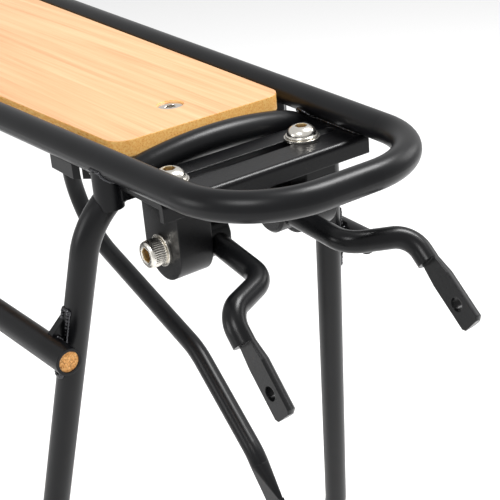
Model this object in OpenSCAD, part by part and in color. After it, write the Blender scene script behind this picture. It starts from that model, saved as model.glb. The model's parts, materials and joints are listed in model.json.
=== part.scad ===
// Rear rack for a bicycle: a welded tube frame with a bamboo deck, low
// side rails with cork plugs, and two adjustable stays on a slotted plate.
// Millimetres. X is to the right, Y to the rear, Z up. The origin is the
// middle of the line through the two dropout eyes.

/* [Frame] */
// Outside diameter of every frame tube
tube_d = 13; // [12:0.5:14]
// Wall of the frame tubes
tube_wall = 1.5; // [1.2:0.1:2]
// Height of the deck rails' axes over the dropout eyes
rail_height = 372; // [350:1:390]
// Distance from the start of the front bend back to the dropout eyes
eye_setback = 136.5; // [130:0.5:142]
// Half width between the rail axes at the front bend
rail_half = 53; // [50:0.5:56]
// Widening of each rail per millimetre of length
rail_taper = 0.044; // [0.03:0.002:0.05]
// Radius of the loop's two front bends
front_bend = 40; // [34:1:46]
// Radius of the loop's two rear bends
rear_bend = 38; // [30:1:42]
// Distance from the start of the front bend to the rear end's axis
loop_rear = 420; // [410:1:430]

/* [Hoops and struts] */
// Distance from the start of the front bend to the front hoop
front_hoop_y = 53; // [51:0.5:55]
// Distance from the start of the front bend to the rear hoop
rear_hoop_y = 385; // [380:1:388]
// Half width of the front hoop at its shoulder corner
hoop_half = 64.5; // [63:0.5:66]
// Drop of the shoulder corner below the rail axes
shoulder_drop = 12; // [11:0.1:14]
// Slope of the hoop's crown beside the middle
crown_slope = 10; // [8:0.5:12]
// Radius of the hoop's crown
crown_r = 176; // [165:1:180]
// Radius of the hoop's shoulders
shoulder_r = 42; // [40:0.5:46]
// Sideways spread of the legs per millimetre of drop
leg_splay = 0.144; // [0.12:0.002:0.15]
// Rearward lean of the front legs per millimetre of drop
front_lean = 0.221; // [0.21:0.001:0.23]
// Rearward lean of the rear legs per millimetre of drop
rear_lean = 0.2; // [0.1:0.001:0.22]
// Half distance between the dropout eyes, to the joint of the blades
eye_half = 98; // [88:0.5:100]
// Hole of the dropout eyes
eye_d = 5.5; // [5.2:0.1:6.6]
// Width of the flattened tube ends
blade_w = 20; // [18:0.5:20]
// Thickness of the flattened tube ends
blade_t = 3.5; // [3:0.1:4]

/* [Low rails] */
// Drop of the low rails below the deck rails
low_drop = 85; // [80:1:95]
// Length of the low rails in front of the front legs
low_front = 18; // [14:1:22]
// Length of the low rails behind the rear legs
low_rear = 20; // [14:1:26]
// Depth of the cork plugs in the tube ends
plug_length = 12; // [8:1:20]

/* [Deck] */
// Front edge of the deck, behind the start of the front bend
deck_front = 62.5; // [62:0.5:66]
// Rear edge of the deck
deck_rear = 372; // [365:1:374]
// Thickness of the deck
deck_t = 8; // [7:0.5:9]
// Top of the deck over the rail axes
deck_top = 4; // [3.5:0.5:4.5]
// Radius of the deck's corners
deck_corner = 9; // [6:0.5:12]
// Front deck screw, behind the start of the front bend
deck_screw_y = 90; // [86:1:94]
// Width of each deck support channel
support_w = 32; // [28:1:36]

/* [Stay plate] */
// Front edge of the stay plate, behind the start of the front bend
plate_front = 12; // [11.5:0.5:14]
// Width of the stay plate from front to rear
plate_w = 35.8; // [35:0.1:36]
// Half length of the stay plate
plate_half = 55; // [50:0.5:56]
// Height of the stay plate's flanges
plate_h = 8.5; // [8:0.5:9.5]
// Wall of the stay plate
plate_wall = 3; // [2.8:0.1:3]
// Wall of the plate's rear flange
rear_wall = 2.3; // [2.2:0.1:2.4]
// Line of the slot, behind the start of the front bend
slot_y = 31; // [30.5:0.1:31.5]
// Width of the long slot
slot_w = 6.5; // [6.4:0.1:7]
// Half length of the long slot
slot_half = 50; // [48:0.5:51]

/* [Clamps and stays] */
// How far the middle between the clamps is set to the right (left if below 0)
clamp_shift = -3.6; // [-5:0.1:5]
// Distance of each clamp bolt from the middle between the clamps
bolt_x = 35.3; // [32:0.1:36]
// Outer face of each clamp block, from the middle
block_outer = 42.6; // [42:0.1:45]
// Length of each clamp block along the slot
block_l = 16.5; // [16:0.5:18]
// Radius of the clamp block's round bottom
block_r = 14; // [13:0.5:14.2]
// Tilt axis below the rail axes
tilt_drop = 36; // [35.5:0.5:40]
// Outside diameter of the cross-drilled barrel
barrel_d = 21; // [19:0.5:22]
// Length of the barrel beside the block
barrel_l = 12.75; // [12.5:0.25:17]
// Diameter of the barrel's neck in the block
neck_d = 12; // [11:0.5:12]
// Diameter of the stay rods
rod_d = 10; // [9:0.5:10]
// Distance of each stay rod from the middle
rod_x = 20.3; // [19:0.1:20.5]
// Downward tilt of the left stay rod as it is set
rod_tilt = 9.9; // [5:0.1:11]
// Downward tilt of the right stay rod as it is set
rod_tilt_right = 3.7; // [0:0.1:10]
// How much further forward the right rod is set in its barrel
rod_reach_right = 5; // [0:0.5:6]
// Rod behind the tilt axis
rod_tail = 24; // [22:1:26]
// Rod from the tilt axis to its first bend
rod_first = 42; // [34:1:43]
// Outward run of the rod's crank
crank_out = 26.2; // [24:0.1:32]
// Forward run of the rod's crank
crank_forward = 12; // [10:0.5:16]
// Centre-line radius of the rod's bends
rod_bend = 12; // [11:0.5:12.5]
// Fall of the blade from the line of the rod's first run
blade_fall = 37; // [34:1:40]
// Length from the second crank bend to the blade's end
rod_last = 47; // [45:1:54]
// Length of the forged blade at the rod's end
flat_l = 33; // [28:1:34]
// Width of the forged blade, which is half round
blade_d = 12.4; // [11:0.1:12.6]
// Length over which the rod swells to the blade's width
swell_l = 9; // [7:1:12]
// Hole in the blade, back from its end
eye_back = 11; // [9:0.5:13]
// Hole in the blade
rod_eye_d = 6.5; // [5.5:0.5:6.5]

/* [Hidden] */
$fn = 96;
// Gap left between parts that slide on each other
slip = 0.05;
// Hairline between a straight and a bend of one tube, which keeps every
// face of the tube a true cylinder or torus
seam = 0.01;
// Reach of a cutter past the face that it cuts
over = 1;
// Radial running clearance of the barrel's neck and of the rod
fit_gap = 0.03;
tube_r = tube_d / 2;
bore_d = tube_d - 2 * tube_wall;
rail_angle = atan(rail_taper);
plate_top = -tube_r - 0.5;
plate_mid = slot_y;
plate_under = plate_top - plate_wall;
deck_under = deck_top - deck_t;
support_h = 9;
support_wall = 2.5;
support_middle_y = (deck_screw_y + deck_rear) / 2 - 4;
support_rear_y = deck_rear - 22;
deck_gap = 3.4;
m6 = 6;
m6_thread = 5.9;
m6_clear = 6.6;
m8 = 8;
m8_thread = 7.9;
m8_clear = 9;
m6_nut = 10;
m6_washer = 12.5;
washer_t = 1.2;
eye_at = [0, eye_setback, -rail_height];

// ---------- tools for bent tubes ----------

function unit(v) = v / norm(v);

// Angle through which a path turns at its corner i
function turn(p, i) =
    acos(min(1, unit(p[i] - p[i - 1]) * unit(p[i + 1] - p[i])));

// Length that the bend at corner i takes from each straight beside it
function setback(p, r, i) =
    (i == 0 || i == len(p) - 1) ? 0 : r[i] * tan(turn(p, i) / 2);

// Moves children from the origin to a point, with local X and Z turned
module frame_at(origin, x_axis, z_axis) {
    y_axis = cross(z_axis, x_axis);
    multmatrix([
        [x_axis[0], y_axis[0], z_axis[0], origin[0]],
        [x_axis[1], y_axis[1], z_axis[1], origin[1]],
        [x_axis[2], y_axis[2], z_axis[2], origin[2]],
        [0, 0, 0, 1]
    ]) children();
}

// Any unit vector square to v
function square_to(v) =
    unit(cross(v, abs(v[2]) < 0.9 ? [0, 0, 1] : [0, 1, 0]));

// Round section of a bar, or of a tube if bore is above 0
module section(d, bore) {
    difference() {
        circle(d = d);
        if (bore > 0) circle(d = bore);
    }
}

// The straight run of a path from corner i to the next
module straight(p, r, i, d, bore = 0) {
    along = unit(p[i + 1] - p[i]);
    start = p[i] + along * (setback(p, r, i) + (i > 0 ? seam : 0));
    end = p[i + 1] - along * (setback(p, r, i + 1) + (i < len(p) - 2 ? seam : 0));
    frame_at(start, square_to(along), along) difference() {
        cylinder(d = d, h = norm(end - start));
        if (bore > 0) translate([0, 0, -1]) cylinder(d = bore, h = norm(end - start) + 2);
    }
}

// The bend of a path at corner i
module bend(p, r, i, d, bore = 0) {
    along = unit(p[i] - p[i - 1]);
    next = unit(p[i + 1] - p[i]);
    inward = unit(next - (next * along) * along);
    frame_at(p[i] - along * setback(p, r, i), inward, along)
        translate([r[i], 0, 0])
            rotate([90, 0, 180])
                rotate_extrude(angle = turn(p, i))
                    translate([r[i], 0]) section(d, bore);
}

// A bar or tube along the corner points p, with bend radius r[i] at corner i
module bent(p, r, d, bore = 0) {
    for (i = [0 : len(p) - 2]) straight(p, r, i, d, bore);
    for (i = [1 : 1 : len(p) - 2]) bend(p, r, i, d, bore);
}

// Everything but the feet is measured from the start of the front bend, on
// the plane of the deck rails' axes
module on_rack() {
    translate(-eye_at) children();
}

module both_sides() {
    children();
    mirror([1, 0, 0]) children();
}

// ---------- paths ----------

function rail_x(y) = rail_half + rail_taper * y;

front_y = -front_bend;
loop_corners = [
    [0, front_y, 0], [rail_x(front_y), front_y, 0], [rail_x(loop_rear), loop_rear, 0],
    [-rail_x(loop_rear), loop_rear, 0], [-rail_x(front_y), front_y, 0], [0, front_y, 0]
];
loop_radii = [0, front_bend, rear_bend, rear_bend, front_bend, 0];

// Right-hand leg of a hoop at a drop below the rails
function leg_at(y, lean, extra, drop) = [
    hoop_half + extra + leg_splay * (drop - shoulder_drop), y + lean * drop, -drop
];

function crown_drop(extra) = shoulder_drop - (hoop_half + extra) * tan(crown_slope);
function crown_at(y, lean, extra) = [0, y + lean * crown_drop(extra), -crown_drop(extra)];

function flip(p) = [-p[0], p[1], p[2]];

// Front leg: straight to the knee, in to the ankle, then down to the eye
knee_drop = 290;
ankle_drop = 326;
knee_r = 30;
leg_blade_x = eye_half + blade_t / 2;
front_ankle = [leg_blade_x, front_hoop_y + front_lean * ankle_drop, -ankle_drop];
front_eye = [leg_blade_x, eye_setback, -rail_height];
front_round_end = front_ankle + 8 * unit(front_eye - front_ankle);
front_half = [
    crown_at(front_hoop_y, front_lean, 0),
    leg_at(front_hoop_y, front_lean, 0, shoulder_drop),
    leg_at(front_hoop_y, front_lean, 0, knee_drop),
    front_ankle, front_round_end
];

// Rear leg: down to the heel, forward to the knee, then in and down to the eye
rear_extra = rail_taper * (rear_hoop_y - front_hoop_y);
heel_drop = 192;
heel_r = 50;
strut_knee = [101, 261.3, -240];
strut_knee_r = 60;
strut_blade_x = eye_half - blade_t / 2;
strut_eye = [strut_blade_x, eye_setback, -rail_height];
strut_fall = 56;
strut_along = [0, -cos(strut_fall), -sin(strut_fall)];
strut_ankle = strut_eye - 100 * strut_along;
strut_round_end = strut_eye - 92 * strut_along;
strut_flat_start = strut_eye - 66 * strut_along;
rear_half = [
    crown_at(rear_hoop_y, rear_lean, rear_extra),
    leg_at(rear_hoop_y, rear_lean, rear_extra, shoulder_drop),
    leg_at(rear_hoop_y, rear_lean, rear_extra, heel_drop),
    strut_knee, strut_ankle, strut_round_end
];

function whole(half) = [
    for (i = [len(half) - 1 : -1 : 1]) flip(half[i]),
    for (p = half) p
];

front_path = whole(front_half);
front_radii = [0, knee_r, knee_r, shoulder_r, crown_r, shoulder_r, knee_r, knee_r, 0];
rear_path = whole(rear_half);
rear_radii = [
    0, knee_r, strut_knee_r, heel_r, shoulder_r, crown_r, shoulder_r, heel_r,
    strut_knee_r, knee_r, 0
];

// Low rail, just clear of the outer side of both legs
low_offset = tube_d + 0.25;
low_front_leg = leg_at(front_hoop_y, front_lean, 0, low_drop) + [low_offset, 0, 0];
low_rear_leg = leg_at(rear_hoop_y, rear_lean, rear_extra, low_drop) + [low_offset, 0, 0];
low_along = unit(low_rear_leg - low_front_leg);
low_start = low_front_leg - low_front * low_along;
low_end = low_rear_leg + low_rear * low_along;

// ---------- frame ----------

module top_loop() {
    color("#26272a") on_rack() bent(loop_corners, loop_radii, tube_d, bore_d);
}

// Flattened end of a tube, in a plane square to X: a smooth change of section
// from the round end, then a flat with a round tip and a hole
module flat_end(round_end, flat_start, eye) {
    along = unit(eye - flat_start);
    hull() {
        frame_at(round_end, [1, 0, 0], along) cylinder(d = tube_d, h = 0.1, $fn = 48);
        frame_at(flat_start, [1, 0, 0], along) for (side = [-1, 1])
            translate([0, side * (blade_w - blade_t) / 2, -0.1 - seam])
                cylinder(d = blade_t, h = 0.1, $fn = 32);
    }
    flat_l = norm(eye - flat_start);
    frame_at(flat_start - [blade_t / 2, 0, 0], along, [1, 0, 0])
        linear_extrude(blade_t) difference() {
            union() {
                translate([0, -blade_w / 2]) square([flat_l, blade_w]);
                translate([flat_l, 0]) circle(d = blade_w);
            }
            translate([flat_l, 0]) circle(d = eye_d);
        }
}

module front_hoop() {
    color("#26272a") on_rack() bent(front_path, front_radii, tube_d, bore_d);
}

module rear_hoop() {
    color("#26272a") on_rack() bent(rear_path, rear_radii, tube_d, bore_d);
}

// The pressed ends of the legs, drawn apart from the round tubes above them
module front_feet() {
    front_flat_start = front_eye - 20 * unit(front_eye - front_ankle);
    color("#26272a") on_rack() both_sides()
        flat_end(front_round_end, front_flat_start, front_eye);
}

module rear_feet() {
    color("#26272a") on_rack() both_sides()
        flat_end(strut_round_end, strut_flat_start, strut_eye);
}

// What a neighbour of the right-hand deck rail is coped with
cope_d = tube_d + 0.02;
module rail_cope() { straight(loop_corners, loop_radii, 1, cope_d); }

// Short upright spacers, coped between the rails and the hoop's shoulders
module spacers(y, path, radii) {
    shoulder = (len(path) - 1) / 2 + 1;
    color("#242528") on_rack() both_sides() difference() {
        translate([rail_x(y) + 1, y + 2, -20]) cylinder(d = tube_d, h = 18);
        rail_cope();
        bend(loop_corners, loop_radii, 2, cope_d);
        bend(path, radii, shoulder, cope_d);
    }
}
module front_spacers() { spacers(front_hoop_y, front_path, front_radii); }
module rear_spacers() { spacers(rear_hoop_y, rear_path, rear_radii); }

// ---------- low rails ----------

module low_rail() {
    color("#26272a") on_rack() bent([low_start, low_end], [0, 0], tube_d, bore_d);
}
module low_rail_right() { low_rail(); }
module low_rail_left() { mirror([1, 0, 0]) low_rail(); }

// Kite-shaped webs that tie the low rails to the legs
module gusset(rail_point) {
    web_t = 4;
    web_h = 17;
    leg_gap = low_offset;
    difference() {
        translate(rail_point) rotate([90, 0, 0])
            linear_extrude(web_t, center = true)
                polygon([[-leg_gap, -web_h], [-leg_gap, web_h], [0, 5], [0, -5]]);
        children();
    }
}

module rail_gussets() {
    front_leg = (len(front_path) - 1) / 2 + 1;
    rear_leg = (len(rear_path) - 1) / 2 + 1;
    color("#242528") on_rack() both_sides() {
        gusset(low_front_leg) {
            straight(front_path, front_radii, front_leg, cope_d);
            straight([low_start, low_end], [0, 0], 0, cope_d);
        }
        gusset(low_rear_leg) {
            straight(rear_path, rear_radii, rear_leg, cope_d);
            straight([low_start, low_end], [0, 0], 0, cope_d);
        }
    }
}

module cork_plugs() {
    recess = 0.6;
    color("#cf8a44") on_rack() both_sides() {
        for (mouth = [low_start + recess * low_along, low_end - (recess + plug_length) * low_along])
            bent([mouth, mouth + plug_length * low_along], [0, 0], bore_d - 0.02);
    }
}

// ---------- deck ----------

function deck_half(y) = rail_x(y) - tube_r / cos(rail_angle) - deck_gap;

deck_screw_spots = [deck_screw_y, support_rear_y];
deck_head_d = 12;
deck_sink_d = 13;
deck_sink = 0.5;

// Outline of the plank: straight tapered sides and round corners
module deck_outline() {
    f = deck_front;
    b = deck_rear;
    c = deck_corner;
    polygon([
        [-deck_half(f + c), f + c], [-deck_half(f) + c, f],
        [deck_half(f) - c, f], [deck_half(f + c), f + c],
        [deck_half(b - c), b - c], [deck_half(b) - c, b],
        [-deck_half(b) + c, b], [-deck_half(b - c), b - c]
    ]);
    for (side = [-1, 1]) {
        translate([side * (deck_half(f + c) - c), f + c]) circle(r = c);
        translate([side * (deck_half(b - c) - c), b - c]) circle(r = c);
    }
}

module deck() {
    color("#e9b273") on_rack() difference() {
        translate([0, 0, deck_under]) linear_extrude(deck_t) deck_outline();
        for (y = deck_screw_spots) translate([0, y, 0]) {
            translate([0, 0, deck_under - over]) cylinder(d = m6_clear, h = deck_t + 2 * over);
            translate([0, 0, deck_top - deck_sink - (deck_sink_d - m6_clear) / 2])
                cylinder(d1 = m6_clear, d2 = deck_sink_d, h = (deck_sink_d - m6_clear) / 2);
            translate([0, 0, deck_top - deck_sink]) cylinder(d = deck_sink_d, h = deck_sink + over);
        }
    }
}

// Pressed channel under the deck, coped to both rails
module support(y, screw = true) {
    half = rail_x(y) + 3;
    color("#2b2c2f") on_rack() difference() {
        translate([0, y, deck_under - support_h]) linear_extrude(support_h)
            difference() {
                square([2 * half, support_w], center = true);
                for (side = [-1, 1], end = [-1, 1])
                    translate([side * half, end * support_w / 2]) rotate(45)
                        square(8, center = true);
            }
        translate([-half + support_wall, y - support_w / 2 + support_wall, deck_under - support_h - over])
            cube([2 * half - 2 * support_wall, support_w - 2 * support_wall,
                  support_h - support_wall + over]);
        both_sides() rail_cope();
        if (screw) translate([0, y, deck_under - support_h]) cylinder(d = m6_clear, h = support_h + over);
    }
}
module support_front() { support(deck_screw_y); }
module support_middle() { support(support_middle_y, false); }
module support_rear() { support(support_rear_y); }

module deck_screws() {
    head_h = (deck_head_d - m6_thread) / 2;
    head_top = deck_top - deck_sink - 0.3;
    color("#c9ccd0") on_rack() for (y = deck_screw_spots) translate([0, y, head_top]) difference() {
        union() {
            translate([0, 0, -head_h]) cylinder(d1 = m6_thread, d2 = deck_head_d, h = head_h);
            translate([0, 0, -20]) cylinder(d = m6_thread, h = 20 - head_h + 0.01);
        }
        translate([0, 0, -2.2]) for (a = [0, 60, 120]) rotate(a)
            translate([-2.6, -0.8, 0]) cube([5.2, 1.6, 3]);
    }
}

deck_nut_top = deck_under - support_wall - washer_t - slip;

module deck_washers() {
    color("#b9bcc0") on_rack() for (y = deck_screw_spots)
        translate([0, y, deck_under - support_wall - washer_t]) difference() {
            cylinder(d = m6_washer, h = washer_t);
            translate([0, 0, -over]) cylinder(d = m6_clear, h = washer_t + 2 * over);
        }
}

module deck_nuts() {
    nut_h = 5;
    color("#b9bcc0") on_rack() for (y = deck_screw_spots)
        translate([0, y, deck_nut_top - nut_h]) difference() {
            cylinder(d = m6_nut / cos(30), h = nut_h, $fn = 6);
            translate([0, 0, -over]) cylinder(d = m6, h = nut_h + 2 * over);
        }
}

// Plate under the rear end for a light or a reflector
module light_bracket() {
    hole_apart = 50;
    plate_l = 60;
    plate_t = 2.5;
    drop = 22;
    color("#26272a") on_rack() difference() {
        translate([-plate_l / 2, loop_rear - plate_t / 2, -tube_r - drop])
            cube([plate_l, plate_t, drop + tube_r]);
        straight(loop_corners, loop_radii, 2, cope_d);
        for (side = [-1, 1]) translate([side * hole_apart / 2, loop_rear, -tube_r - drop / 2 - 2])
            rotate([90, 0, 0]) cylinder(d = eye_d, h = 4 * plate_t, center = true);
    }
}

// ---------- stay plate ----------

// Section of the plate in Y and Z, with a round front edge on top
module plate_section() {
    edge_r = 2.5;
    difference() {
        union() {
            translate([edge_r, -plate_h]) square([plate_w - edge_r, plate_h]);
            translate([0, -plate_h]) square([plate_w, plate_h - edge_r]);
            translate([edge_r, -edge_r]) circle(r = edge_r);
        }
        translate([plate_wall, -plate_h - over])
            square([plate_w - plate_wall - rear_wall, plate_h - plate_wall + over]);
        translate([plate_w - 2, -0.8]) square([2 + over, 2]);
    }
}

module stay_plate() {
    color("#1f2022") on_rack() difference() {
        translate([-plate_half, plate_front, plate_top]) rotate([90, 0, 90])
            linear_extrude(2 * plate_half) plate_section();
        translate([0, plate_mid, plate_top - plate_wall - over]) {
            translate([-slot_half + slot_w / 2, -slot_w / 2, 0])
                cube([2 * slot_half - slot_w, slot_w, plate_wall + 2 * over]);
            for (side = [-1, 1]) translate([side * (slot_half - slot_w / 2), 0, 0])
                cylinder(d = slot_w, h = plate_wall + 2 * over);
        }
    }
}

// ---------- clamps ----------

block_inner = block_outer - block_l;
barrel_inner = block_inner - slip - barrel_l;
neck_l = 8;
tilt_at = [0, plate_mid, -tilt_drop];
head_h = 7.4;
head_d = 12.4;
cap_washer_t = 1.4;
cap_washer_d = 14.5;

// Moves a clamp's parts to where the clamp is set along the slot
module set_right() { translate([clamp_shift, 0, 0]) children(); }
module set_left() { translate([clamp_shift, 0, 0]) mirror([1, 0, 0]) children(); }

// Drawn for the right side; the left is its mirror
module clamp_block() {
    top = plate_under - slip;
    color("#1d1e20") on_rack() difference() {
        union() {
            translate([block_inner, plate_mid - block_r, -tilt_drop])
                cube([block_l, 2 * block_r, top + tilt_drop]);
            translate([block_inner, plate_mid, -tilt_drop]) rotate([0, 90, 0])
                cylinder(r = block_r, h = block_l);
        }
        translate([bolt_x, plate_mid, top - 12]) cylinder(d = m6, h = 12 + over);
        translate(tilt_at) rotate([0, 90, 0]) {
            translate([0, 0, block_inner - over])
                cylinder(d = neck_d + 2 * fit_gap, h = neck_l + slip + 0.5 + over);
            cylinder(d = m8_clear, h = block_outer + over);
        }
    }
}
module clamp_block_right() { set_right() clamp_block(); }
module clamp_block_left() { set_left() clamp_block(); }

// Button-head bolt with a hexagon socket
module slot_bolt() {
    button_h = 4.4;
    button_d = 13.6;
    collar_t = 1;
    base = plate_top + slip + washer_t;
    dome_r = (button_d * button_d / 4 + button_h * button_h) / (2 * button_h);
    color("#d3d2cc") on_rack() translate([bolt_x, plate_mid, base]) difference() {
        union() {
            cylinder(d = button_d + 1.2, h = collar_t);
            translate([0, 0, collar_t]) intersection() {
                translate([0, 0, button_h - dome_r]) sphere(r = dome_r);
                cylinder(d = button_d + 2, h = button_h);
            }
            translate([0, 0, -14]) cylinder(d = m6_thread, h = 14.01);
        }
        translate([0, 0, collar_t + 1]) cylinder(d = 4 / cos(30), h = button_h + over, $fn = 6);
    }
}
module slot_bolt_right() { set_right() slot_bolt(); }
module slot_bolt_left() { set_left() slot_bolt(); }

slot_washer_d = 16.4;
module slot_washer() {
    color("#c9c8c2") on_rack() translate([bolt_x, plate_mid, plate_top + slip]) difference() {
        cylinder(d = slot_washer_d, h = washer_t);
        translate([0, 0, -over]) cylinder(d = m6_clear, h = washer_t + 2 * over);
    }
}
module slot_washer_right() { set_right() slot_washer(); }
module slot_washer_left() { set_left() slot_washer(); }

// Turns children about the tilt axis by the set tilt of a rod
module tilted(tilt) {
    on_rack() translate(tilt_at) rotate([tilt, 0, 0]) children();
}

module barrel(tilt) {
    rim = 1.2;
    color("#232427") tilted(tilt) difference() {
        rotate([0, 90, 0]) {
            translate([0, 0, barrel_inner + rim]) cylinder(d = barrel_d, h = barrel_l - rim);
            translate([0, 0, barrel_inner]) cylinder(d1 = barrel_d - 2 * rim, d2 = barrel_d, h = rim);
            translate([0, 0, barrel_inner]) cylinder(d = neck_d, h = barrel_l + slip + neck_l);
        }
        translate([rod_x, 0, 0]) rotate([90, 0, 0])
            cylinder(d = rod_d + 2 * fit_gap, h = 2 * barrel_d, center = true);
        translate([rod_x, 0, 0]) rotate([0, 90, 0]) cylinder(d = m8, h = block_outer);
    }
}
module barrel_right() { set_right() barrel(rod_tilt_right); }
module barrel_left() { set_left() barrel(rod_tilt); }

module cap_screw(tilt) {
    head_base = block_outer + slip + cap_washer_t;
    tip = rod_x + rod_d / 2 + 0.2;
    color("#d3d2cc") tilted(tilt) rotate([0, 90, 0]) difference() {
        union() {
            translate([0, 0, tip]) cylinder(d = m8_thread, h = head_base - tip + 0.01);
            translate([0, 0, head_base]) cylinder(d = head_d, h = head_h - 0.6);
            translate([0, 0, head_base + head_h - 0.6])
                cylinder(d1 = head_d, d2 = head_d - 1.2, h = 0.6);
        }
        translate([0, 0, head_base + 3]) cylinder(d = 6 / cos(30), h = head_h, $fn = 6);
    }
}
module cap_screw_right() { set_right() cap_screw(rod_tilt_right); }
module cap_screw_left() { set_left() cap_screw(rod_tilt); }

module cap_washer(tilt) {
    color("#c9c8c2") tilted(tilt) rotate([0, 90, 0]) translate([0, 0, block_outer + slip])
        difference() {
            cylinder(d = cap_washer_d, h = cap_washer_t);
            translate([0, 0, -over]) cylinder(d = m8_clear, h = cap_washer_t + 2 * over);
        }
}
module cap_washer_right() { set_right() cap_washer(rod_tilt_right); }
module cap_washer_left() { set_left() cap_washer(rod_tilt); }

// ---------- stay rods ----------

rod_blade_x = rod_x + crank_out;
crank_end_y = -(rod_first + crank_forward);
blade_along = [0, -cos(blade_fall), -sin(blade_fall)];
rod_corners = [
    [rod_x, rod_tail, 0], [rod_x, -rod_first, 0], [rod_blade_x, crank_end_y, 0],
    [rod_blade_x, crank_end_y, 0] + (rod_last - 1) * blade_along
];
rod_radii = [0, rod_bend, rod_bend, 0];

// Cranked rod whose end swells to a forged half-round blade with a hole
module stay_rod(flat_side, tilt, reach) {
    end_point = rod_corners[2] + rod_last * blade_along;
    eye_point = end_point - eye_back * blade_along;
    flat_start = end_point - flat_l * blade_along;
    color("#232427") tilted(tilt) translate([0, -reach, 0]) difference() {
        union() {
            bent(rod_corners, rod_radii, rod_d);
            frame_at(flat_start, [1, 0, 0], blade_along) rotate_extrude()
                polygon([[0, 0.5], [rod_d / 2 + 0.02, 0.5], [blade_d / 2, swell_l],
                    [blade_d / 2, flat_l - 1.5], [blade_d / 2 - 1.5, flat_l], [0, flat_l]]);
        }
        frame_at(flat_start, [1, 0, 0], blade_along) translate([flat_side * rod_d, 0, flat_l])
            cube([2 * rod_d, 2 * rod_d, 2 * flat_l], center = true);
        translate(eye_point) rotate([0, 90, 0]) cylinder(d = rod_eye_d, h = 3 * rod_d, center = true);
    }
}
module stay_rod_right() { set_right() stay_rod(-1, rod_tilt_right, rod_reach_right); }
module stay_rod_left() { set_left() stay_rod(1, rod_tilt, 0); }

top_loop();
front_hoop();
rear_hoop();
front_feet();
rear_feet();
front_spacers();
rear_spacers();
low_rail_left();
low_rail_right();
rail_gussets();
cork_plugs();
deck();
support_front();
support_middle();
support_rear();
deck_screws();
deck_washers();
deck_nuts();
light_bracket();
stay_plate();
clamp_block_left();
clamp_block_right();
slot_bolt_left();
slot_bolt_right();
slot_washer_left();
slot_washer_right();
barrel_left();
barrel_right();
cap_screw_left();
cap_screw_right();
cap_washer_left();
cap_washer_right();
stay_rod_left();
stay_rod_right();
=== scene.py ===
import json
import math

import bmesh
import bpy
from mathutils import Matrix, Vector, noise


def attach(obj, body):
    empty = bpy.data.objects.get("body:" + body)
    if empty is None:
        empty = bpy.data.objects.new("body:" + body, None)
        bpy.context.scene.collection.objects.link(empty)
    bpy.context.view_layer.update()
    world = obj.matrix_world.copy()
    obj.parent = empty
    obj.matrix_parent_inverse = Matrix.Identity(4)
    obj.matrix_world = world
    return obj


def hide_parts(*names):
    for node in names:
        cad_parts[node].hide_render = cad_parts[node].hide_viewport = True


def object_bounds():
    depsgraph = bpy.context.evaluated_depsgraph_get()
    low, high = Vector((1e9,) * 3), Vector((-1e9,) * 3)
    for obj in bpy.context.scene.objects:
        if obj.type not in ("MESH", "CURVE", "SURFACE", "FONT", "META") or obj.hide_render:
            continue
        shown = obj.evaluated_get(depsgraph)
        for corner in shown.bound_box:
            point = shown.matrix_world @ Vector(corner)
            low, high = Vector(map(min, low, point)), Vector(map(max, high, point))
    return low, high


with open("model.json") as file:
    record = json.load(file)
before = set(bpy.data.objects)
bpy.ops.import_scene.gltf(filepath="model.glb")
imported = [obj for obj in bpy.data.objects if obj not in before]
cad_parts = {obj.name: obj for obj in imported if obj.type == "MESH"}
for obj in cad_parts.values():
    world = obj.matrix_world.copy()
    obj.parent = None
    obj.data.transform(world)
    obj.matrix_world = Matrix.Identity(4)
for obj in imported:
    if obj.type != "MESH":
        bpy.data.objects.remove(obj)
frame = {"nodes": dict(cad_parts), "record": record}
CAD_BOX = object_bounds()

NODES = frame["nodes"]
MM = 0.001

# ---------- sizes of the rack in millimetres, as in its CAD source ----------

RAIL_HEIGHT = 372.0     # deck rails' axes over the dropout eyes
EYE_SETBACK = 136.5     # dropout eyes behind the start of the front bend
TUBE_R = 6.5
RAIL_HALF, RAIL_TAPER = 53.0, 0.044
LOOP_REAR = 420.0
HOOP_HALF, SHOULDER_DROP, LEG_SPLAY = 64.5, 12.0, 0.144
# Each hoop: distance behind the start of the front bend, lean, extra half width
HOOPS = ((53.0, 0.221, 0.0), (385.0, 0.2, 14.608))
# Low rails: under the deck rails, and beside the legs
LOW_DROP, LOW_OFFSET = 85.0, 13.25
CHANNEL_MIDDLES = (90.0, 227.0, 350.0)
# Clamps: their slots and tilt axes, and the bolts on the slots
SLOT_Y, TILT_DROP = 31.0, 36.0
CLAMP_SHIFT, BOLT_X, WASHER_TOP = -3.6, 35.3, -5.75
# Each clamp: side, direction along X, tilt of its stay in degrees
CLAMPS = (("left", -1, 9.9), ("right", 1, 3.7))


def rack(x, y, z):
    """Point measured from the start of the front bend, as millimetres in the shared frame."""
    return Vector((x, y - EYE_SETBACK, z + RAIL_HEIGHT))


def rail_x(y):
    return RAIL_HALF + RAIL_TAPER * y


def leg_point(hoop, drop):
    y, lean, extra = hoop
    return Vector((HOOP_HALF + extra + LEG_SPLAY * (drop - SHOULDER_DROP), y + lean * drop, -drop))


# ---------- camera ----------

CAM_LENS = 89.3
CAM_PLACE = (-0.28474, -0.52810, 0.55784)
CAM_RIGHT, CAM_UP = (0.80728, -0.58493, -0.07844), (0.30635, 0.30174, 0.90283)

cam_data = bpy.data.cameras.new("camera")
cam_data.sensor_width = 36.0
cam_data.lens = CAM_LENS
cam_data.clip_start = 0.02
cam_data.clip_end = 20.0
cam = bpy.data.objects.new("camera", cam_data)
bpy.context.scene.collection.objects.link(cam)
back = Vector(CAM_RIGHT).cross(Vector(CAM_UP))
cam.matrix_world = Matrix((*zip(CAM_RIGHT, CAM_UP, back, CAM_PLACE), (0, 0, 0, 1)))
bpy.context.scene.camera = cam
bpy.context.scene.view_settings.view_transform = "Standard"


# ---------- materials ----------

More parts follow.
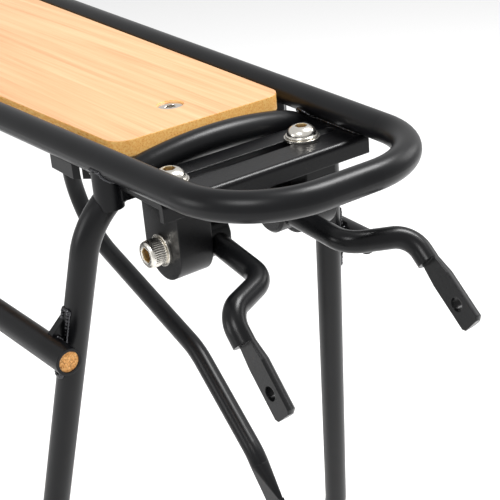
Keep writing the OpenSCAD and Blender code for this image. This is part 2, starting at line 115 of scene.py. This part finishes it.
class Mat:
    """A node material on object coordinates, in metres, with short names for its nodes."""

    def __init__(self, name):
        self.m = bpy.data.materials.new(name)
        self.m.use_nodes = True
        self.t = self.m.node_tree
        self.b = self.t.nodes["Principled BSDF"]
        self.coord = self.t.nodes.new("ShaderNodeTexCoord").outputs["Object"]

    def set(self, **values):
        for key, value in values.items():
            self.b.inputs[key.replace("_", " ")].default_value = value

    def link(self, a, b):
        self.t.links.new(a, b)

    def put(self, socket, value):
        """Links an output, or sets a number or colour."""
        if isinstance(value, tuple):
            socket.default_value = (*value, 1)
        elif isinstance(value, (int, float)):
            socket.default_value = value
        else:
            self.link(value, socket)

    def stretched(self, scale):
        n = self.t.nodes.new("ShaderNodeMapping")
        n.inputs["Scale"].default_value = scale
        self.link(self.coord, n.inputs["Vector"])
        return n.outputs[0]

    def noise(self, scale, detail, rough=0.5, vec=None):
        n = self.t.nodes.new("ShaderNodeTexNoise")
        n.inputs["Scale"].default_value = scale
        n.inputs["Detail"].default_value = detail
        n.inputs["Roughness"].default_value = rough
        self.link(vec or self.coord, n.inputs["Vector"])
        return n.outputs["Fac"]

    def voronoi(self, scale, feature="F1", vec=None):
        n = self.t.nodes.new("ShaderNodeTexVoronoi")
        n.feature = feature
        n.inputs["Scale"].default_value = scale
        self.link(vec or self.coord, n.inputs["Vector"])
        return n.outputs["Distance"]

    def ramp(self, fac, stops):
        n = self.t.nodes.new("ShaderNodeValToRGB")
        el = n.color_ramp.elements
        el[0].position, el[0].color = stops[0][0], (*stops[0][1], 1)
        el[1].position, el[1].color = stops[-1][0], (*stops[-1][1], 1)
        for position, colour in stops[1:-1]:
            el.new(position).color = (*colour, 1)
        self.link(fac, n.inputs["Fac"])
        return n.outputs["Color"]

    def spread(self, fac, lo, hi, a=0.3, b=0.7):
        """Maps a to lo and b to hi."""
        n = self.t.nodes.new("ShaderNodeMapRange")
        for name, value in (("From Min", a), ("From Max", b), ("To Min", lo), ("To Max", hi)):
            n.inputs[name].default_value = value
        self.link(fac, n.inputs["Value"])
        return n.outputs[0]

    def mix(self, fac, a, b):
        n = self.t.nodes.new("ShaderNodeMix")
        n.data_type = "RGBA"
        for socket, value in ((n.inputs[0], fac), (n.inputs[6], a), (n.inputs[7], b)):
            self.put(socket, value)
        return n.outputs[2]

    def math(self, operation, *values):
        n = self.t.nodes.new("ShaderNodeMath")
        n.operation = operation
        for socket, value in zip(n.inputs, values):
            self.put(socket, value)
        return n.outputs[0]

    def blend(self, *parts):
        """Sum of (output, weight) pairs."""
        total = None
        for output, weight in parts:
            term = self.math("MULTIPLY", output, weight)
            total = term if total is None else self.math("ADD", total, term)
        return total

    def surface(self, colour, rough, height, strength, depth, edge=None):
        """Sets colour, roughness and a bump, over edges rounded to a radius."""
        self.put(self.b.inputs["Base Color"], colour)
        self.put(self.b.inputs["Roughness"], rough)
        n = self.t.nodes.new("ShaderNodeBump")
        n.inputs["Strength"].default_value = strength
        n.inputs["Distance"].default_value = depth
        self.link(height, n.inputs["Height"])
        if edge:
            bevel = self.t.nodes.new("ShaderNodeBevel")
            bevel.samples = 6
            bevel.inputs["Radius"].default_value = edge
            self.link(bevel.outputs[0], n.inputs["Normal"])
        self.link(n.outputs[0], self.b.inputs["Normal"])


def paint(name, dark, light, rough, grain, edge):
    """Black coating: cloudy gloss and a fine grain of the given frequency."""
    m = Mat(name)
    m.set(IOR=1.5, Specular_IOR_Level=0.20)
    cloud = m.noise(38.0, 3.0)
    speck = m.noise(grain, 2.0, 0.6)
    m.surface(m.mix(m.spread(cloud, 0.0, 1.0), dark, light),
              m.spread(m.blend((cloud, 0.5), (speck, 0.5)), *rough), speck, 0.22, 0.00006, edge)
    return m.m


def steel(name, colour, rough, scratch):
    """Bare metal, a little darker in clouds, with fine scratches."""
    m = Mat(name)
    m.set(Metallic=1.0)
    cloud = m.noise(160.0, 3.0)
    marks = m.noise(scratch, 3.0, 0.7)
    darker = tuple(v * 0.86 for v in colour)
    m.surface(m.mix(m.spread(cloud, 0.0, 1.0), colour, darker),
              m.spread(m.blend((cloud, 0.5), (marks, 0.5)), *rough), marks, 0.15, 0.00003, 0.0004)
    return m.m


def bamboo_wood():
    """Fibre streaks along the deck on its faces, pored end grain on its edges."""
    m = Mat("bamboo")
    m.set(IOR=1.48)
    fine = m.noise(1.0, 4.0, 0.65, m.stretched((1500.0, 14.0, 900.0)))
    streak = m.noise(1.0, 3.0, 0.55, m.stretched((330.0, 5.0, 200.0)))
    wide = m.noise(1.0, 2.0, 0.5, m.stretched((60.0, 2.2, 40.0)))
    tone = m.blend((fine, 0.30), (streak, 0.38), (wide, 0.32))
    face = m.ramp(tone, ((0.36, (0.44, 0.19, 0.075)), (0.45, (0.53, 0.275, 0.13)),
                         (0.54, (0.57, 0.335, 0.175)), (0.66, (0.61, 0.39, 0.22))))
    pores = m.voronoi(1.0, "F1", m.stretched((1300.0, 300.0, 1300.0)))
    end_tone = m.blend((pores, 0.6), (m.noise(900.0, 3.0, 0.7), 0.6))
    end_grain = m.ramp(end_tone, ((0.22, (0.60, 0.22, 0.045)), (0.45, (0.93, 0.45, 0.105)),
                                  (0.75, (1.0, 0.60, 0.20))))
    normal = m.t.nodes.new("ShaderNodeSeparateXYZ")
    m.link(m.t.nodes.new("ShaderNodeNewGeometry").outputs["Normal"], normal.inputs[0])
    edge = m.spread(m.math("ABSOLUTE", normal.outputs["Z"]), 1.0, 0.0, 0.25, 0.85)
    m.surface(m.mix(edge, face, end_grain), m.spread(tone, 0.40, 0.56, 0.35, 0.65),
              fine, 0.35, 0.0001, 0.0009)
    return m.m


def cork_wood():
    """Pressed granules with dark joints between them."""
    m = Mat("cork")
    m.set(IOR=1.4)
    tone = m.blend((m.voronoi(950.0), 0.5), (m.noise(520.0, 4.0, 0.7), 0.6))
    granules = m.ramp(tone, ((0.25, (0.30, 0.115, 0.025)), (0.5, (0.62, 0.29, 0.085)),
                             (0.8, (0.80, 0.45, 0.17))))
    joints = m.spread(m.voronoi(520.0, "DISTANCE_TO_EDGE"), 1.0, 0.0, 0.0, 0.05)
    m.surface(m.mix(joints, granules, (0.13, 0.05, 0.015)), 0.8, tone, 0.7, 0.0003)
    return m.m


stainless = steel("stainless", (0.74, 0.71, 0.65), (0.17, 0.28), 2400.0)
# Painted shade: darker, golden steel for the faces inside the hexagon sockets
socket_painted_shade = steel("socket_painted_shade", (0.52, 0.40, 0.22), (0.26, 0.38), 1600.0)
weld_paint = steel("weld_paint", (0.06, 0.06, 0.064), (0.18, 0.30), 2200.0)

SLOT_MATS = {
    "black_paint": paint("black_powder_coat", (0.0026, 0.0027, 0.0032), (0.0050, 0.0052, 0.0060),
                         (0.28, 0.37), 2600.0, 0.0006),
    "black_anodised": paint("black_anodised", (0.0024, 0.0024, 0.0028), (0.0046, 0.0046, 0.0052),
                            (0.24, 0.33), 5200.0, 0.0009),
    "satin_black_steel": paint("satin_black_steel", (0.0024, 0.0025, 0.0028),
                               (0.0046, 0.0048, 0.0054), (0.24, 0.32), 4200.0, 0.0006),
    "bamboo": bamboo_wood(),
    "cork": cork_wood(),
    "stainless": stainless,
    "zinc": steel("zinc", (0.62, 0.63, 0.65), (0.25, 0.38), 1800.0),
}
for sub in frame["record"]["subparts"]:
    materials = NODES[sub["node"]].data.materials
    materials.clear()
    materials.append(SLOT_MATS[sub["material_slot"]])


# ---------- added pieces ----------

def add(name, bm, body, mats):
    """Makes a smooth piece of a bmesh and on a body."""
    me = bpy.data.meshes.new(name)
    bmesh.ops.recalc_face_normals(bm, faces=bm.faces)
    bm.normal_update()
    bm.to_mesh(me)
    bm.free()
    for polygon in me.polygons:
        polygon.use_smooth = True
    for material in mats:
        me.materials.append(material)
    o = bpy.data.objects.new(name, me)
    bpy.context.scene.collection.objects.link(o)
    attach(o, body)
    return o


# Weld beads, in millimetres
RING_STEP = 0.42        # between two rings of points along a bead
RIPPLE = 1.9            # length of one ripple
RING_POINTS = 10


def even_line(path, closed):
    """Points at even steps along a path, each with its distance from the start."""
    points = path + [path[0].copy()] if closed else path
    dist = [0.0]
    for a, b in zip(points, points[1:]):
        dist.append(dist[-1] + (b - a).length)
    n = max(8, int(dist[-1] / RING_STEP))
    line, j = [], 0
    for i in range(n if closed else n + 1):
        s = dist[-1] * i / n
        while j < len(points) - 2 and dist[j + 1] < s:
            j += 1
        u = (s - dist[j]) / max(dist[j + 1] - dist[j], 1e-6)
        line.append((points[j].lerp(points[j + 1], u), s))
    return line, dist[-1]


def bead(name, paths, r, closed=False):
    """Rippled weld beads of mean radius r along paths; open ones thin out at their ends."""
    bm = bmesh.new()
    for k, path in enumerate(paths):
        line, length = even_line(path, closed)
        rings, m = [], len(line)
        for i, (p, s) in enumerate(line):
            before = line[(i - 1) % m if closed else max(i - 1, 0)][0]
            after = line[(i + 1) % m if closed else min(i + 1, m - 1)][0]
            along = (after - before).normalized()
            x = along.cross(Vector((0.31, 0.22, 0.93))).normalized()
            y = along.cross(x)
            w = 0.80 + 0.24 * abs(math.sin(math.pi * s / RIPPLE))
            w += 0.22 * noise.noise(p * 0.6 + Vector((k, 3, 1)))
            if not closed:
                w *= min(1.0, 0.35 + 1.3 * min(s, length - s) / r)
            turns = (2 * math.pi * c / RING_POINTS for c in range(RING_POINTS))
            rings.append([bm.verts.new((p + (x * math.cos(q) + y * math.sin(q)) * r * w) * MM)
                          for q in turns])
        for i in range(m if closed else m - 1):
            a, b = rings[i], rings[(i + 1) % m]
            for c in range(RING_POINTS):
                d = (c + 1) % RING_POINTS
                bm.faces.new((a[c], a[d], b[d], b[c]))
        if not closed:
            bm.faces.new(rings[0])
            bm.faces.new(rings[-1])
    add(name, bm, "frame", [weld_paint])


def rim(p, q, p_steps, q_steps):
    """Points once round a rectangle of half sides p and q."""
    half = [(-p + 2 * p * i / p_steps, q) for i in range(p_steps + 1)]
    half += [(p, q - 2 * q * i / q_steps) for i in range(1, q_steps)]
    return half + [(-a, -b) for a, b in half]


def stretch(lo, hi, n):
    """Numbers from lo to hi in n steps."""
    return [lo + (hi - lo) * i / n for i in range(n + 1)]


# Round each gusset web: along the leg, and along the low rail
SURFACE_R = TUBE_R + 0.05
web_leg, web_rail = [], []
for side in (-1, 1):
    for hoop in HOOPS:
        loop = []
        for rise, turn in rim(17.6, 0.38, 24, 6):
            p = leg_point(hoop, LOW_DROP - rise)
            loop.append(rack(side * (p.x + SURFACE_R * math.cos(turn)),
                             p.y + SURFACE_R * math.sin(turn), p.z))
        web_leg.append(loop)
        c = leg_point(hoop, LOW_DROP)
        loop = []
        for turn, dy in rim(0.86, 2.4, 10, 4):
            x = c.x + LOW_OFFSET + RAIL_TAPER * dy - SURFACE_R * math.cos(turn)
            loop.append(rack(side * x, c.y + dy, c.z + SURFACE_R * math.sin(turn)))
        web_rail.append(loop)
bead("weld_beads_gusset_leg", web_leg, 1.25, closed=True)
bead("weld_beads_gusset_rail", web_rail, 1.15, closed=True)

# Round the top of each spacer, where it meets the curve of its rail
tops = []
for side in (-1, 1):
    for hoop_y, _, _ in HOOPS:
        loop = []
        for i in range(48):
            q = 2 * math.pi * i / 48
            x, y = rail_x(hoop_y) + 1.0 + 6.45 * math.cos(q), hoop_y + 2.0 + 6.45 * math.sin(q)
            dx = max(-6.25, min(6.25, x - rail_x(y)))
            loop.append(rack(side * (rail_x(y) + dx), y, -math.sqrt(TUBE_R ** 2 - dx ** 2) - 0.2))
        tops.append(loop)
bead("weld_beads_spacer", tops, 1.0, closed=True)

# Along the rails on the stay plate and on the ends of the three channels
runs = []
for side in (-1, 1):
    runs.append([rack(side * (rail_x(y) - 2.1), y, -6.5) for y in range(17, 46, 2)])
    for middle in CHANNEL_MIDDLES:
        runs.append([rack(side * (rail_x(y) - 5.9), y, -4.3)
                     for y in stretch(middle - 11.5, middle + 11.5, 12)])
bead("weld_beads_rail_runs", runs, 1.15)
bead("weld_beads_bracket",
     [[rack(x, LOOP_REAR + dy, -6.4) for x in stretch(-28, 28, 30)] for dy in (-1.6, 1.6)], 1.1)


# Heads of the screws and bolts, each drawn along its axis
STEEL, SOCKET = 0, 1


def lathe(profile, n, place):
    """Closed body of rings of n points; profile holds (z, radius or radius by angle, material)."""
    bm = bmesh.new()
    turns = [2 * math.pi * i / n for i in range(n)]
    rings = []
    for z, r, _ in profile:
        radii = [r(q) if callable(r) else r for q in turns]
        rings.append([bm.verts.new(place @ (Vector((a * math.cos(q), a * math.sin(q), z)) * MM))
                      for a, q in zip(radii, turns)])
    for k in range(len(rings) - 1):
        for i in range(n):
            j = (i + 1) % n
            f = bm.faces.new((rings[k][i], rings[k][j], rings[k + 1][j], rings[k + 1][i]))
            f.material_index = profile[k + 1][2]
    bm.faces.new(rings[0]).material_index = STEEL
    bm.faces.new(rings[-1]).material_index = profile[-1][2]
    return bm


def hexagon(apothem):
    return lambda q: apothem / math.cos((q + math.pi / 6) % (math.pi / 3) - math.pi / 6)


def knurl(r, ridges, depth):
    return lambda q: r - depth * (0.5 + 0.5 * math.cos(q * ridges))


def head(name, profile, n, place, body, replaced):
    """A head of stainless steel with painted shade in its socket, a darker golden steel, in place
    of a CAD node.
    """
    o = add(name, lathe(profile, n, place), body, [stainless, socket_painted_shade])
    o.data.set_sharp_from_angle(angle=math.radians(35.0))
    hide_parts(replaced)


# Cap screw from the middle between the clamps: shank, knurled head, rolled edge, hexagon
ridged = knurl(6.2, 38, 0.40)
CAP_SCREW = [(z, r, STEEL) for z, r in (
    (25.5, 3.4), (26.2, 3.95), (44.06, 3.95), (44.06, 5.9), (44.5, 6.1), (44.9, ridged),
    (49.4, ridged), (49.8, 6.05), (50.5, 6.05), (51.1, 5.8), (51.4, 5.35), (51.45, 4.6),
    (51.45, 3.75), (51.25, hexagon(3.12)))]
CAP_SCREW += [(51.0, hexagon(3.0), SOCKET), (47.4, hexagon(3.0), SOCKET), (46.9, 1.2, SOCKET)]

# Slot bolt from the top of its washer: shank, flange, domed head, hexagon
DOME_BASE, DOME_R, DOME_H = 1.05, 6.75, 4.2
SLOT_BOLT = [(z, r, STEEL) for z, r in (
    (-14.0, 2.95), (0.0, 2.95), (0.0, 7.3), (0.25, 7.5), (0.75, 7.5), (1.0, 7.3),
    (DOME_BASE, DOME_R))]
for degrees in (6, 13, 20, 27, 34, 41, 48, 54, 59):
    rise = math.radians(degrees)
    SLOT_BOLT.append((DOME_BASE + DOME_H * math.sin(rise), DOME_R * math.cos(rise) ** 0.72, STEEL))
SLOT_BOLT += [(5.05, 3.1, STEEL), (5.0, hexagon(2.6), STEEL), (4.8, hexagon(2.5), SOCKET),
              (2.4, hexagon(2.5), SOCKET), (2.0, 0.9, SOCKET)]

for side, sign, tilt in CLAMPS:
    tilt_axis = Matrix.Translation(rack(CLAMP_SHIFT, SLOT_Y, -TILT_DROP) * MM)
    turned = (Matrix.Rotation(math.radians(tilt), 4, "X")
              @ Matrix.Rotation(math.radians(90.0 * sign), 4, "Y"))
    head("cap_screw_head_" + side, CAP_SCREW, 304, tilt_axis @ turned,
         "tilt_" + side, "cap_screw_" + side)
    on_slot = Matrix.Translation(rack(CLAMP_SHIFT + sign * BOLT_X, SLOT_Y, WASHER_TOP) * MM)
    head("slot_bolt_head_" + side, SLOT_BOLT, 96, on_slot, "clamp_" + side, "slot_bolt_" + side)


# ---------- floor, light ----------

FLOOR_HALF = 6.0
floor_mesh = bpy.data.meshes.new("floor")
floor_mesh.from_pydata([(x * FLOOR_HALF, y * FLOOR_HALF, 0)
                        for x, y in ((-1, -1), (1, -1), (1, 1), (-1, 1))], [], [(0, 1, 2, 3)])
floor = bpy.data.objects.new("floor", floor_mesh)
floor.location = (0, 0, CAD_BOX[0].z - 0.0005)
bpy.context.scene.collection.objects.link(floor)
floor_mat = Mat("floor")
floor_mat.set(Base_Color=(0.93, 0.93, 0.93, 1), Roughness=0.9, Specular_IOR_Level=0.1)
floor_mesh.materials.append(floor_mat.m)

world = bpy.data.worlds.new("world")
bpy.context.scene.world = world
world.use_nodes = True
background = world.node_tree.nodes["Background"]
background.inputs["Color"].default_value = (1.0, 1.0, 1.0, 1)
background.inputs["Strength"].default_value = 0.75


def area(name, place, target, size, watts):
    """Square soft light, turned to face a target."""
    light = bpy.data.lights.new(name, "AREA")
    light.energy = watts
    light.size = size
    o = bpy.data.objects.new(name, light)
    o.location = place
    o.rotation_mode = "QUATERNION"
    o.rotation_quaternion = (Vector(target) - Vector(place)).to_track_quat("-Z", "Y")
    bpy.context.scene.collection.objects.link(o)


area("key", (-0.75, -0.55, 1.35), (0, -0.05, 0.35), 0.45, 9.0)
area("top", (0.62, -0.20, 1.40), (0, -0.05, 0.35), 0.42, 19.0)
area("rim", (1.1, -0.2, 0.75), (0, -0.05, 0.33), 0.5, 2.5)
area("left", (-1.2, 0.35, 0.55), (0, 0.0, 0.25), 0.5, 4.0)
